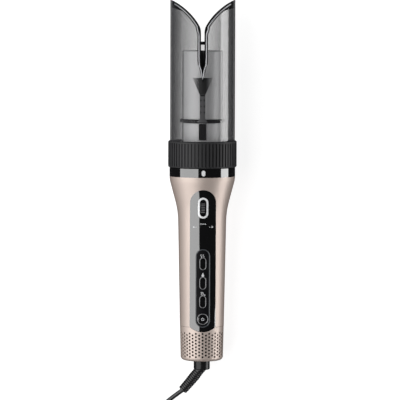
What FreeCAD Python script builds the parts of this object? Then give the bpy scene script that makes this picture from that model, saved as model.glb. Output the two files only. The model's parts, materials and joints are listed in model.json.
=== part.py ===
import FreeCAD, Part
import math
import os
import re
import Sketcher
from FreeCAD import Placement, Rotation, Vector

# Automatic hair curler, lying on its back on a flat surface with its control panel up.
# Every piece of the tool is drawn upright in one tool frame: Z runs from the end cap (0) to the horns
# of the guard, and -Y is the side with the controls. lay() then turns the pieces down onto the surface.
# The mains lead is drawn straight in the frame of the surface. All sizes are in millimetres.

SIZES = {
    # smoked guard, its V mouth and its two slots
    "guard_radius": 29.7, "guard_wall": 1.6, "guard_low": 184.6, "guard_high": 331.5,
    "mouth_half": 31.0, "mouth_round": 60.0, "throat_half": 3.5, "throat_high": 307.2,
    "throat_round": 15.0, "slot_half": 1.6, "slot_high": 299.8,
    "front_slot_low": 267.5, "rear_slot_low": 292.0, "sunk": 0.25, "rim_wide": 3.2, "rim_proud": 0.6,
    "rim_point_low": 256.0,
    # arrow guide behind the front wall
    "arrow_high": 260.0, "arrow_low": 244.5, "arrow_half": 9.3, "stem_half": 2.5, "stem_low": 223.0,
    "foot_half": 4.8, "foot_low": 219.4, "arrow_thick": 1.1,
    # barrel unit
    "barrel_radius": 18.4, "barrel_wall": 1.7, "barrel_low": 221.8, "crown_low": 281.0,
    "barrel_high": 284.0, "barrel_slot_half": 2.65, "barrel_slot_low": 266.0, "crown_round": 0.8,
    "disc_radius": 20.6, "disc_low": 218.6, "spindle_radius": 5.6, "spindle_bore": 4.2,
    "gear_low": 174.0, "gear_high": 179.0, "gear_module": 0.8, "gear_teeth": 24, "pinion_teeth": 10,
    "gear_backlash": 0.12,
    # barrel drive and its seat
    "core_radius": 3.6, "core_low": 164.0, "heater_low": 228.0, "heater_high": 262.0,
    "heater_radius": 12.0, "pedestal_low": 182.0, "pedestal_high": 218.2, "pedestal_flange": 25.0,
    "pedestal_wall": 1.8, "bush_radius": 8.0, "bush_length": 4.0, "running_gap": 0.05,
    "plate_low": 169.5, "plate_high": 172.0, "plate_radius": 24.5, "screw_circle": 22.3,
    "motor_radius": 7.5, "motor_low": 145.0, "shaft_radius": 1.0,
    # neck
    "ring_radius": 31.4, "ring_bore": 29.95, "ring_low": 177.6, "ring_high": 202.0, "ring_round": 1.5,
    "ring_lip_bore": 28.1, "ring_ribs": 60, "rib_gap": 1.35, "rib_depth": 0.9,
    "sleeve_radius": 27.8, "sleeve_bore": 25.2, "sleeve_high": 201.0, "floor_low": 198.5,
    "vent_radius": 1.4, "vents": 12, "band_radius": 30.05, "band_high": 177.3,
    "release_half": 1.65, "release_long": 2.6, "release_level": 173.3, "release_proud": 0.35,
    # grip
    "neck_radius": 30.0, "neck_low": 169.3, "shoulder_round": 22.04, "slope_top": 163.6,
    "slope_top_radius": 29.25, "slope_low": 145.75, "slope_low_radius": 24.5, "waist_round": 73.0,
    "waist_low": 128.0, "waist_radius": 22.05, "grip_low": 31.9, "grip_low_radius": 20.2,
    "grip_wall": 2.0, "tongue_low": 25.9, "tongue_radius": 20.085,
    # control panel
    "panel_half": 11.9, "panel_top": 146.1, "panel_low": 32.3, "panel_low_round": 17.7,
    "switch_level": 141.4, "bezel_half": 4.75, "bezel_long": 9.65, "bezel_wide": 1.75,
    "slider_half": 2.75, "slider_long": 5.75, "pad_half": 6.6, "pad_top": 103.8, "pad_low": 31.7,
    "key_half": 2.2, "key_long": 4.9, "key_upper": 90.3, "key_middle": 72.5, "key_lower": 55.4,
    "power_level": 39.5, "power_radius": 4.1, "key_gap": 0.2,
    "board_half": 8.0, "board_front": 14.7, "board_thick": 1.2, "board_low": 36.5, "board_high": 104.0,
    "tact_front": 16.9, "tact_half": 2.2,
    # air unit
    "duct_radius": 12.5, "duct_bore": 11.6, "duct_low": 46.0, "duct_high": 124.0, "duct_back": 4.5,
    "fan_motor_radius": 6.5, "fan_motor_low": 50.0, "fan_motor_high": 68.0, "fan_shaft_radius": 0.9,
    "hub_radius": 5.0, "hub_low": 70.4, "hub_high": 78.4, "blade_reach": 10.9, "blades": 7,
    "mica_low": 88.0, "mica_high": 120.0, "mica_half": 11.0, "mica_thick": 0.8,
    "coil_ring_radius": 8.6, "coil_wire": 0.5, "coil_rings": 6, "coil_pitch": 4.6,
    # tail
    "cap_radius": 19.45, "cap_round": 3.5, "cap_top_radius": 20.1, "cap_high": 31.6, "cap_wall": 1.25,
    "cap_floor": 1.5, "cap_bore": 7.85, "vent_pitch": 3.06, "vent_first": 4.4, "cap_vent_radius": 0.95,
    "cap_columns": 40, "mesh_radius": 17.95, "mesh_wall": 0.3, "frame_radius": 17.2, "frame_wall": 1.4,
    "collar_radius": 7.45, "collar_low": -9.0, "collar_high": 1.9, "stem_radius": 6.0,
    "ball_radius": 4.9, "socket_gap": 0.2, "socket_high": -2.0,
    # mains lead
    "cord_radius": 2.0, "boot_root_radius": 4.6, "boot_end_radius": 3.9, "coil_inner": 18.0,
    "coil_outer": 30.0, "coil_high": 16.0, "plug_high": 13.7, "plug_half": 17.65, "pin_radius": 2.0,
    "pin_length": 19.0, "pin_spacing": 19.0,
}

# The lead as it lies on the surface: points of its route, chosen by hand.
BOOT_ROUTE = [(-0.6, -168.5, 18.8), (-7.0, -177.2, 17.4), (-17.5, -189.3, 14.0)]
LEAD_ROUTE = [(-17.5, -189.3, 14.0), (-30.0, -198.3, 8.5), (-41.4, -210.3, 3.4), (-46.8, -223.5, 2.0),
              (-48.0, -234.0, 2.0)]
COIL_CENTRE = (-20.0, -234.0, 0.0)
TAIL_ROUTE = [(-46.3, -243.6, 14.0), (-40.3, -253.1, 14.0), (-31.9, -261.5, 12.5), (-23.9, -269.5, 8.5),
              (-17.4, -276.0, 6.85)]
PLUG_TURN = -45.0
# The controls and the grip stand turned a little about the tool's axis against the guard, in degrees.
CONTROLS_TURN = 2.0
# Curved cuts through a thin round wall come out whole only without the default slack.
EXACT = 1e-7

doc = FreeCAD.newDocument("hair_curler")
sheet = doc.addObject("Spreadsheet::Sheet", "dims")
for row, (name, size) in enumerate(SIZES.items(), start=1):
    sheet.set(f"A{row}", name)
    sheet.set(f"B{row}", str(size))
    sheet.setAlias(f"B{row}", name)
doc.recompute()
parts = []


def bound(formula):
    """The formula with each size written as its cell of the sheet."""
    return re.sub(r"[a-z]\w+", lambda word: "dims." * (word.group() in SIZES) + word.group(), str(formula))


def amount(formula):
    """What a formula of sizes comes to, in millimetres."""
    return float(sheet.evalExpression(bound(formula)))


def laid_down():
    """The tool at rest: its end cap's rounded rim and the lock ring's lower shoulder both touch Z = 0."""
    cap_round, ring_round = amount("cap_round"), amount("ring_round")
    cap_reach, ring_reach = amount("cap_radius") - cap_round, amount("ring_radius") - ring_round
    rise, run = ring_reach - cap_reach, amount("ring_low") + ring_round - cap_round
    tilt = math.atan2(rise, run) - math.asin((cap_round - ring_round) / math.hypot(rise, run))
    lift = cap_reach * math.cos(tilt) - cap_round * math.sin(tilt) + cap_round
    middle = (amount("guard_high") + amount("collar_low")) / 2
    turn = Rotation(Vector(1, 0, 0), math.degrees(tilt) - 90)
    return Placement(Vector(0, -middle * math.cos(tilt), lift), turn)


LAID = laid_down()


def lay(piece, label, back=0, turn=0):
    """Name a piece and lay it down with the tool, turned about the tool's axis or standing back from it."""
    piece.Label = label
    moved = Placement(Vector(0, amount(back), 0), Rotation(Vector(0, 0, 1), turn))
    piece.Placement = LAID.multiply(moved).multiply(piece.Placement)
    parts.append(piece)


def stand(piece, label, place, turn=0):
    """Name a piece and stand it on the surface, turned about the vertical."""
    piece.Label = label
    piece.Placement = Placement(Vector(*place), Rotation(Vector(0, 0, 1), turn)).multiply(piece.Placement)
    parts.append(piece)


def new_body(name):
    return doc.addObject("PartDesign::Body", name)


def origin_part(body, role):
    return next(part for part in body.Origin.OriginFeatures if part.Role == role)


def sketch_on(body, plane, height=0, turn=0):
    """A sketch on an origin plane of the body, raised by a formula or turned about the tool's axis."""
    sketch = body.newObject("Sketcher::SketchObject", body.Name + "_sketch")
    sketch.AttachmentSupport = [(origin_part(body, plane), "")]
    sketch.MapMode = "FlatFace"
    if turn:
        sketch.AttachmentOffset = Placement(Vector(), Rotation(Vector(0, 1, 0), turn))
    if height:
        sketch.setExpression("AttachmentOffset.Base.z", bound(height))
    return sketch


def hold(sketch, kind, geometry, end, formula):
    """Tie one coordinate of a sketch point to a formula."""
    index = sketch.addConstraint(Sketcher.Constraint(kind, -1, 1, geometry, end, amount(formula)))
    sketch.setExpression(f"Constraints[{index}]", bound(formula))


def hold_radius(sketch, geometry, formula):
    index = sketch.addConstraint(Sketcher.Constraint("Radius", geometry, amount(formula)))
    sketch.setExpression(f"Constraints[{index}]", bound(formula))


def arc_between(start, end, radius):
    """An arc and whether it runs backwards. The centre is left of the way for a positive radius."""
    chord = end - start
    reach = math.sqrt(max(radius ** 2 - (chord.Length / 2) ** 2, 0))
    left = Vector(-chord.y, chord.x, 0).normalize()
    centre = (start + end) / 2 + left * math.copysign(reach, radius)
    first, last = (start, end) if radius > 0 else (end, start)
    angles = [math.atan2(point.y - centre.y, point.x - centre.x) for point in (first, last)]
    circle = Part.Circle(centre, Vector(0, 0, 1), abs(radius))
    return Part.ArcOfCircle(circle, angles[0], angles[1]), radius < 0


def draw(sketch, corners):
    """Draw a closed outline. A corner is (x, y), or (x, y, bend) where an arc of that radius arrives.

    A negative bend has its centre on the right of the way, and "half" is a half circle.
    """
    places = [Vector(amount(corner[0]), amount(corner[1]), 0) for corner in corners]
    sides = []
    for index, corner in enumerate(corners):
        start, end = places[index - 1], places[index]
        bend = corner[2] if len(corner) == 3 else None
        if bend is None:
            side, backwards = Part.LineSegment(start, end), False
        elif bend == "half":
            side, backwards = arc_between(start, end, (end - start).Length / 2)
        else:
            side, backwards = arc_between(start, end, amount(bend))
        geometry = sketch.addGeometry(side)
        sides.append((geometry, 2 if backwards else 1, 1 if backwards else 2))
        if bend == "half":
            hold(sketch, "DistanceY", geometry, 3, corner[1])
        elif bend is not None:
            hold_radius(sketch, geometry, f"abs({bend})")
    for index, (geometry, first, last) in enumerate(sides):
        following, its_first, its_last = sides[(index + 1) % len(sides)]
        sketch.addConstraint(Sketcher.Constraint("Coincident", geometry, last, following, its_first))
        hold(sketch, "DistanceX", geometry, last, corners[index][0])
        hold(sketch, "DistanceY", geometry, last, corners[index][1])


def draw_circle(sketch, x, y, radius):
    circle = Part.Circle(Vector(amount(x), amount(y), 0), Vector(0, 0, 1), amount(radius))
    geometry = sketch.addGeometry(circle)
    hold(sketch, "DistanceX", geometry, 3, x)
    hold(sketch, "DistanceY", geometry, 3, y)
    hold_radius(sketch, geometry, radius)


def pill(level, half, long):
    """Outline of an upright pill: its middle level, half its width and half its length."""
    low, high = f"{level} - ({long}) + ({half})", f"{level} + ({long}) - ({half})"
    return [(f"-({half})", low), (half, low, "half"), (half, high), (f"-({half})", high, "half")]


def rectangle(left, right, low, high):
    return [(left, low), (right, low), (right, high), (left, high)]


def turned(name, corners, angle=360, facing=-90):
    """A body turned about the tool's axis, whole or as a sector that faces the control side."""
    body = new_body(name)
    sketch = sketch_on(body, "XZ_Plane", turn=0 if angle == 360 else facing)
    draw(sketch, corners)
    feature = body.newObject("PartDesign::Revolution", name + "_turned")
    feature.Profile = sketch
    feature.ReferenceAxis = (sketch, ["V_Axis"])
    feature.Midplane = angle < 360
    feature.Angle = angle
    return body


def disc(name, radius, low, high):
    """A body padded from a circle between two levels."""
    body = new_body(name)
    sketch = sketch_on(body, "XY_Plane", height=low)
    draw_circle(sketch, 0, 0, radius)
    feature = body.newObject("PartDesign::Pad", name + "_pad")
    feature.Profile = sketch
    feature.setExpression("Length", bound(f"{high} - ({low})"))
    return body


def cut(body, outlines, side="front", circles=(), turn=0):
    """Cut outlines seen from the control side through the front wall, the rear wall or both."""
    sketch = sketch_on(body, "XZ_Plane", turn=turn)
    for corners in outlines:
        draw(sketch, corners)
    for x, y, radius in circles:
        draw_circle(sketch, x, y, radius)
    pocket = body.newObject("PartDesign::Pocket", body.Name + "_cut")
    pocket.Profile = sketch
    pocket.Type = "ThroughAll"
    pocket.Midplane = side == "both"
    pocket.Reversed = side == "front"
    pocket.FuzzyTolerance = EXACT
    return pocket


def drill(body, circles, low):
    """Cut circles, seen along the tool's axis, upwards from a level."""
    sketch = sketch_on(body, "XY_Plane", height=low)
    for x, y, radius in circles:
        draw_circle(sketch, x, y, radius)
    pocket = body.newObject("PartDesign::Pocket", body.Name + "_holes")
    pocket.Profile = sketch
    pocket.Type = "ThroughAll"
    pocket.Reversed = True
    return pocket


def around(body, feature, count):
    """Repeat a feature around the tool's axis."""
    pattern = body.newObject("PartDesign::PolarPattern", feature.Name + "_around")
    pattern.Originals = [feature]
    pattern.Axis = (origin_part(body, "Z_Axis"), [""])
    pattern.Angle = 360
    pattern.setExpression("Occurrences", bound(count))
    body.Tip = pattern
    return pattern


def cylinder(radius, low, high, x=0, y=0):
    """An upright cylinder between two levels, as a piece of a compound or a boolean."""
    rod = doc.addObject("Part::Cylinder", "rod")
    rod.setExpression("Radius", bound(radius))
    rod.setExpression("Height", bound(f"{high} - ({low})"))
    rod.Placement.Base = Vector(amount(x), amount(y), amount(low))
    return rod


def block(x, y, z):
    """A box between pairs of formulas along X, Y and Z."""
    box = doc.addObject("Part::Box", "block")
    for side, (start, end) in zip(("Length", "Width", "Height"), (x, y, z)):
        box.setExpression(side, bound(f"{end} - ({start})"))
    box.Placement.Base = Vector(amount(x[0]), amount(y[0]), amount(z[0]))
    return box


def group(name, pieces):
    """Separate like solids in one piece."""
    compound = doc.addObject("Part::Compound", name)
    compound.Links = pieces
    return compound


def without(name, base, tool):
    difference = doc.addObject("Part::Cut", name)
    difference.Base = base
    difference.Tool = tool
    return difference


def tube(name, outer, inner, low, high, x=0, y=0):
    return without(name, cylinder(outer, low, high, x, y), cylinder(inner, low, high, x, y))


def grip_wall(over, under, low="grip_low", low_radius="grip_low_radius"):
    """Section of a wall that follows the grip, between two offsets from the grip's outer surface."""
    def side(offset):
        return [(f"neck_radius + ({offset})", "neck_low"),
                (f"slope_top_radius + ({offset})", "slope_top"),
                (f"slope_low_radius + ({offset})", "slope_low"),
                (f"waist_radius + ({offset})", "waist_low"),
                (f"{low_radius} + ({offset})", low)]
    down, up = side(over), side(under)[::-1]
    down[1] += ("-shoulder_round",)
    down[3] += ("waist_round",)
    up[2] += ("-waist_round",)
    up[4] += ("shoulder_round",)
    return down + up


def inlay(name, over, under, outline, openings=(), circles=()):
    """A piece of the control side: a wall that follows the grip, kept inside an outline."""
    body = turned(name, grip_wall(over, under, "tongue_low", "tongue_radius"), 110)
    cut(body, [rectangle(-60, 60, -20, 360), outline])
    if openings or circles:
        cut(body, openings, circles=circles)
    return body


def mouth(inset, low, bottom="flat"):
    """Outline of the V mouth and its slot, with each edge moved inset into the material.

    The slot ends flat at low, round below it, or in a point at the level given as bottom.
    """
    half, throat = f"slot_half + {inset}", f"throat_half + {inset} * 0.87"
    side, level = f"mouth_half + {inset} * 0.4", f"guard_high - {inset} * 0.917"
    throat_level = f"throat_high - {inset} * 0.5"
    wide, tight = f"-(mouth_round - {inset})", f"-(throat_round - {inset})"
    down = [(f"-({side})", "guard_high + 2"), (f"-({side})", level), (f"-({throat})", throat_level, wide),
            (f"-({half})", "slot_high", tight), (f"-({half})", low)]
    up = [(half, low), (half, "slot_high"), (throat, throat_level, tight), (side, level, wide),
          (side, "guard_high + 2")]
    if bottom == "round":
        up[0] += ("half",)
    elif bottom != "flat":
        down.append((0, bottom))
    return down + up


def gear(name, teeth, bore):
    """A spur gear with straight-sided teeth, one of them on the X axis."""
    pitch = f"gear_module * {teeth} / 2"
    half = "(gear_module * 0.785 - gear_backlash)"
    root, tip = f"{pitch} - gear_module * 1.2", f"{pitch} + gear_module * 0.85"
    body = new_body(name)
    blank = sketch_on(body, "XY_Plane", height="gear_low")
    draw_circle(blank, 0, 0, root)
    draw_circle(blank, 0, 0, bore)
    disc = body.newObject("PartDesign::Pad", name + "_blank")
    disc.Profile = blank
    disc.setExpression("Length", bound("gear_high - gear_low"))
    flank = sketch_on(body, "XY_Plane", height="gear_low")
    draw(flank, [(f"{root} - 0.4", f"-{half} - gear_module * 0.45"), (tip, f"-{half} + gear_module * 0.3"),
                 (tip, f"{half} - gear_module * 0.3"), (f"{root} - 0.4", f"{half} + gear_module * 0.45")])
    tooth = body.newObject("PartDesign::Pad", name + "_tooth")
    tooth.Profile = flank
    tooth.setExpression("Length", bound("gear_high - gear_low"))
    around(body, tooth, teeth)
    return body


def around_axis(radius, angle):
    """Two formulas for a place on a circle about the tool's axis."""
    return f"{radius} * cos({angle})", f"{radius} * sin({angle})"


def joined(first, second):
    fusion = doc.addObject("Part::Fuse", "joined")
    fusion.Base = first
    fusion.Tool = second
    return fusion


def swung(piece, angle):
    """A piece turned about the tool's axis."""
    piece.Placement = Placement(Vector(), Rotation(Vector(0, 0, 1), angle)).multiply(piece.Placement)
    return piece


def turned_screw(x, z):
    """A board screw: its head lies on the board's front and its shank goes through."""
    head = doc.addObject("Part::Cylinder", "screw_head")
    head.Radius, head.Height = 1.5, 1.2
    shank = doc.addObject("Part::Cylinder", "screw_shank")
    shank.Radius, shank.Height = 0.9, 4.2
    facing = Rotation(Vector(1, 0, 0), -90)
    head.Placement = Placement(Vector(x, amount("-board_front - 1.2"), z), facing)
    shank.Placement = Placement(Vector(x, amount("-board_front - 1.2"), z), facing)
    return joined(head, shank)


def make_guard():
    wall = rectangle("guard_radius - guard_wall", "guard_radius", "guard_low", "guard_high")
    guard = turned("guard", wall)
    cut(guard, [mouth(0, "rear_slot_low")], side="both")
    cut(guard, [mouth(0, "front_slot_low + slot_half", "round")])
    lay(guard, "smoked_guard")
    make_rim("mouth_rim_front", -90, mouth("rim_wide", "front_slot_low + 8", "rim_point_low"),
             mouth(0, "front_slot_low + slot_half", "round"))
    make_rim("mouth_rim_rear", 90, mouth("rim_wide", "rear_slot_low - 3"), mouth(0, "rear_slot_low"))
    head = [("-arrow_half", "arrow_high"), ("-stem_half", "arrow_low"), ("-stem_half", "stem_low"),
            ("-foot_half", "foot_low"), ("foot_half", "foot_low"), ("stem_half", "stem_low"),
            ("stem_half", "arrow_low"), ("arrow_half", "arrow_high")]
    inner = "guard_radius - guard_wall"
    arrow = turned("arrow", rectangle(f"{inner} - arrow_thick", f"{inner} + sunk", 200, 300), 60)
    cut(arrow, [rectangle(-60, 60, 190, 310), head])
    lay(arrow, "arrow_guide")


def make_rim(label, facing, outside, inside):
    """The raised rim along the mouth and slot of one wall."""
    section = rectangle("guard_radius - sunk", "guard_radius + rim_proud", 250, "guard_high + 1")
    body = turned(label + "_body", section, 130, facing)
    side = "front" if facing < 0 else "rear"
    cut(body, [rectangle(-60, 60, 240, 340), outside], side)
    cut(body, [inside], side)
    lay(body, label)


def make_barrel():
    slot = rectangle("-barrel_slot_half", "barrel_slot_half", "barrel_slot_low + barrel_slot_half", 300)
    slot[1] += ("half",)
    bore = "barrel_radius - barrel_wall"
    barrel = turned("barrel", rectangle(bore, "barrel_radius", "barrel_low", "crown_low"))
    cut(barrel, [slot])
    lay(barrel, "curl_barrel")
    crown = turned("crown", [(bore, "crown_low"), ("barrel_radius", "crown_low"),
                             ("barrel_radius", "barrel_high - crown_round"),
                             ("barrel_radius - crown_round", "barrel_high", "crown_round"),
                             (f"{bore} - 2.5", "barrel_high"), (f"{bore} - 2.5", "crown_low - 1"),
                             (bore, "crown_low - 1")])
    cut(crown, [slot])
    lay(crown, "barrel_crown")
    lay(tube("base", "disc_radius", "spindle_radius", "disc_low", "barrel_low"), "barrel_base_disc")
    lay(tube("spindle", "spindle_radius", "spindle_bore", "gear_low - 1", "barrel_low"), "barrel_spindle")
    lay(gear("gear", "gear_teeth", "spindle_radius"), "drive_gear")


def make_drive():
    offset = "gear_module * (gear_teeth + pinion_teeth) / 2"
    lay(gear("pinion", "pinion_teeth", "shaft_radius"), "motor_pinion", back=offset)
    lay(cylinder("shaft_radius", "plate_low - 8", "gear_high + 0.6"), "pinion_shaft", back=offset)
    shaft_bore = "shaft_radius + running_gap"
    motor = without("motor", cylinder("motor_radius", "motor_low", "plate_low"),
                    cylinder(shaft_bore, "plate_low - 8.6", "plate_low"))
    lay(motor, "gear_motor", back=offset)
    plate = disc("plate", "plate_radius", "plate_low", "plate_high")
    drill(plate, [(0, 0, "core_radius"), (0, offset, "shaft_radius + 1.2")], "plate_low")
    lay(plate, "motor_plate")
    posts = [around_axis("screw_circle", angle) for angle in (90, 210, 330)]
    bores = [cylinder(1.25, "plate_high", "pedestal_low", x, y) for x, y in posts]
    pillars = [cylinder(2.0, "plate_high", "pedestal_low", x, y) for x, y in posts]
    lay(group("standoffs", [without("pillar", *pair) for pair in zip(pillars, bores)]), "plate_standoffs")
    heads = [cylinder(2.1, "pedestal_low + 2.5", "pedestal_low + 4.1", x, y) for x, y in posts]
    shanks = [cylinder(1.2, "plate_high", "pedestal_low + 2.5", x, y) for x, y in posts]
    lay(group("screws", [joined(*pair) for pair in zip(heads, shanks)]), "pedestal_screws")
    seat = turned("seat", [("bush_radius", "pedestal_low"), ("bush_radius + 1.8", "pedestal_low"),
                           ("bush_radius + 1.8", "pedestal_high - 3"),
                           ("barrel_radius - pedestal_wall", "pedestal_high - 3"),
                           ("barrel_radius - pedestal_wall", "pedestal_low"),
                           ("pedestal_flange", "pedestal_low"), ("pedestal_flange", "pedestal_low + 2.5"),
                           ("barrel_radius", "pedestal_low + 2.5"), ("barrel_radius", "pedestal_high"),
                           ("bush_radius", "pedestal_high")])
    drill(seat, [(x, y, 1.25) for x, y in posts], "pedestal_low")
    lay(seat, "barrel_pedestal")
    bush_bore = "spindle_radius + running_gap"
    bushes = [tube("bush", "bush_radius", bush_bore, low, f"{low} + bush_length")
              for low in ("pedestal_low + 1", "pedestal_high - bush_length")]
    lay(group("bushes", bushes), "spindle_bushes")
    lay(cylinder("core_radius", "core_low", "heater_high"), "core_post")
    heater = turned("heater", rectangle("core_radius", "heater_radius", "heater_low", "heater_high"))
    lay(heater, "ceramic_heater_core")
    lay(cylinder(4.5, "heater_high", "heater_high + 3"), "core_thermostat")
    lay(block((-3.4, 3.4), ("-barrel_radius - 0.9", "-barrel_radius + 0.6"), (203, "pedestal_high - 0.4")),
        "pedestal_key_rib")


def make_neck():
    lay(tube("sleeve", "sleeve_radius", "sleeve_bore", "band_high", "sleeve_high"), "neck_sleeve")
    floor = turned("floor", rectangle("barrel_radius", "sleeve_bore", "floor_low", "floor_low + 2"))
    drilled = drill(floor, [("(barrel_radius + sleeve_bore) / 2", 0, "vent_radius")], "floor_low")
    around(floor, drilled, "vents")
    lay(floor, "chamber_floor")
    ring = turned("ring", [("ring_lip_bore", "ring_low"), ("ring_radius - ring_round", "ring_low"),
                           ("ring_radius", "ring_low + ring_round", "ring_round"),
                           ("ring_radius", "ring_high - ring_round"),
                           ("ring_radius - ring_round", "ring_high", "ring_round"),
                           ("ring_bore", "ring_high"), ("ring_bore", "guard_low - 0.4"),
                           ("ring_lip_bore", "guard_low - 0.4")])
    groove = sketch_on(ring, "XY_Plane", height="ring_low + 1.4")
    draw(groove, rectangle("ring_radius - rib_depth", "ring_radius + 1", "-rib_gap / 2", "rib_gap / 2"))
    pocket = ring.newObject("PartDesign::Pocket", "ring_groove")
    pocket.Profile = groove
    pocket.Reversed = True
    pocket.setExpression("Length", bound("ring_high - ring_low - 3.2"))
    pocket.FuzzyTolerance = EXACT
    around(ring, pocket, "ring_ribs")
    lay(ring, "lock_ring")
    band = turned("band", rectangle("plate_radius", "band_radius", "neck_low", "band_high"))
    hole = pill("release_level", "release_half + key_gap", "release_long + key_gap")
    cut(band, [hole])
    lay(band, "neck_band", turn=CONTROLS_TURN)
    button = turned("button", rectangle("plate_radius + 1.7", "band_radius + release_proud", 165, 180), 60)
    cut(button, [rectangle(-60, 60, 160, 190), pill("release_level", "release_half", "release_long")])
    lay(button, "release_button", turn=CONTROLS_TURN)
    lay(block((-3, 3), (-23.6, -23.2), ("plate_high", "plate_high + 6")), "release_leaf_spring",
        turn=CONTROLS_TURN)


def make_grip():
    shell = turned("shell", grip_wall("0", "-grip_wall"))
    panel_outline = [("-panel_half", "panel_low"), ("panel_half", "panel_low", "panel_low_round"),
                     ("panel_half", "panel_top"), ("-panel_half", "panel_top", "half")]
    cut(shell, [panel_outline])
    lay(shell, "handle_shell", turn=CONTROLS_TURN)
    switch = pill("switch_level", "bezel_half", "bezel_long")
    pad = pill("(pad_top + pad_low) / 2", "pad_half", "(pad_top - pad_low) / 2")
    lay(inlay("panel", "0.05", "-grip_wall", panel_outline, [switch, pad]), "control_panel",
        turn=CONTROLS_TURN)
    well = pill("switch_level", "bezel_half - bezel_wide", "bezel_long - bezel_wide")
    lay(inlay("bezel", "0.55", "-grip_wall + 0.3", switch, [well]), "switch_bezel", turn=CONTROLS_TURN)
    lay(inlay("well", "-2.3", "-3.2", switch), "switch_well", turn=CONTROLS_TURN)
    lay(inlay("slider", "0.85", "-1.8", pill("switch_level", "slider_half", "slider_long")), "switch_slider",
        turn=CONTROLS_TURN)
    key_levels = ("key_upper", "key_middle", "key_lower")
    gaps = [pill(level, "key_half + key_gap", "key_long + key_gap") for level in key_levels]
    lay(inlay("pad", "0.4", "-1.2", pad, gaps, [(0, "power_level", "power_radius + key_gap")]), "button_pad",
        turn=CONTROLS_TURN)
    for level in key_levels:
        lay(inlay(level + "_body", "0.8", "-2.2", pill(level, "key_half", "key_long")), level,
            turn=CONTROLS_TURN)
    lay(inlay("power", "0.7", "-2.2", pill("power_level", "power_radius", "power_radius + 0.02")),
        "power_button", turn=CONTROLS_TURN)
    lay(block(("-board_half", "board_half"), ("-board_front", "-board_front + board_thick"),
              ("board_low", "board_high")), "control_board", turn=CONTROLS_TURN)
    switches = [block(("-tact_half", "tact_half"), ("-tact_front", "-board_front"),
                      (f"{level} - tact_half", f"{level} + tact_half"))
                for level in key_levels + ("power_level",)]
    lay(group("switches", switches), "tact_switches", turn=CONTROLS_TURN)
    heads = [turned_screw(x, z) for x, z in ((-5.4, 47.5), (5.4, 47.5), (-5.4, 98.5), (5.4, 98.5))]
    lay(group("board_screw_group", heads), "board_screws", turn=CONTROLS_TURN)


def make_air_unit():
    middle = "duct_back"
    lay(tube("duct", "duct_radius", "duct_bore", "duct_low", "duct_high"), "air_duct", back=middle)
    motor = without("fan_body", cylinder("fan_motor_radius", "fan_motor_low", "fan_motor_high"),
                    cylinder("fan_shaft_radius + running_gap", "fan_motor_high - 6.4", "fan_motor_high"))
    lay(motor, "fan_motor", back=middle)
    struts = []
    for angle in (90, 210, 330):
        strut = block(("fan_motor_radius - 0.3", "duct_bore + 0.2"), (-0.6, 0.6), (55, 62))
        struts.append(swung(strut, angle))
    lay(group("strut_group", struts), "motor_struts", back=middle)
    rotor = disc("rotor", "hub_radius", "hub_low", "hub_high")
    drill(rotor, [(0, 0, "fan_shaft_radius")], "hub_low")
    face = sketch_on(rotor, "YZ_Plane", height="hub_radius - 1.2")
    draw(face, [(-2.6, "hub_low + 0.8"), (-1.6, "hub_low + 0.8"), (2.6, "hub_high - 0.8"),
                (1.6, "hub_high - 0.8")])
    blade = rotor.newObject("PartDesign::Pad", "blade")
    blade.Profile = face
    blade.setExpression("Length", bound("blade_reach - hub_radius + 1.2"))
    around(rotor, blade, "blades")
    lay(rotor, "fan_impeller", back=middle)
    lay(cylinder("fan_shaft_radius", "fan_motor_high - 6", "hub_high"), "fan_shaft",
        back=middle)
    mica = [block(("-mica_half", "mica_half"), ("-mica_thick / 2", "mica_thick / 2"),
                  ("mica_low", "mica_high")),
            block(("-mica_thick / 2", "mica_thick / 2"), ("-mica_half", "mica_half"),
                  ("mica_low", "mica_high"))]
    lay(joined(*mica), "air_heater_cross", back=middle)
    rings = []
    for index in range(SIZES["coil_rings"]):
        ring = doc.addObject("Part::Torus", "heater_ring")
        ring.setExpression("Radius1", bound("coil_ring_radius"))
        ring.setExpression("Radius2", bound("coil_wire"))
        ring.Placement.Base = Vector(0, 0, amount(f"mica_low + 4 + {index} * coil_pitch"))
        rings.append(ring)
    lay(group("ring_group", rings), "air_heater_coils", back=middle)
    lay(cylinder(1.5, "mica_low + 8", "mica_low + 18", 3.5, 3.5), "thermal_fuse",
        back=middle)


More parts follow.
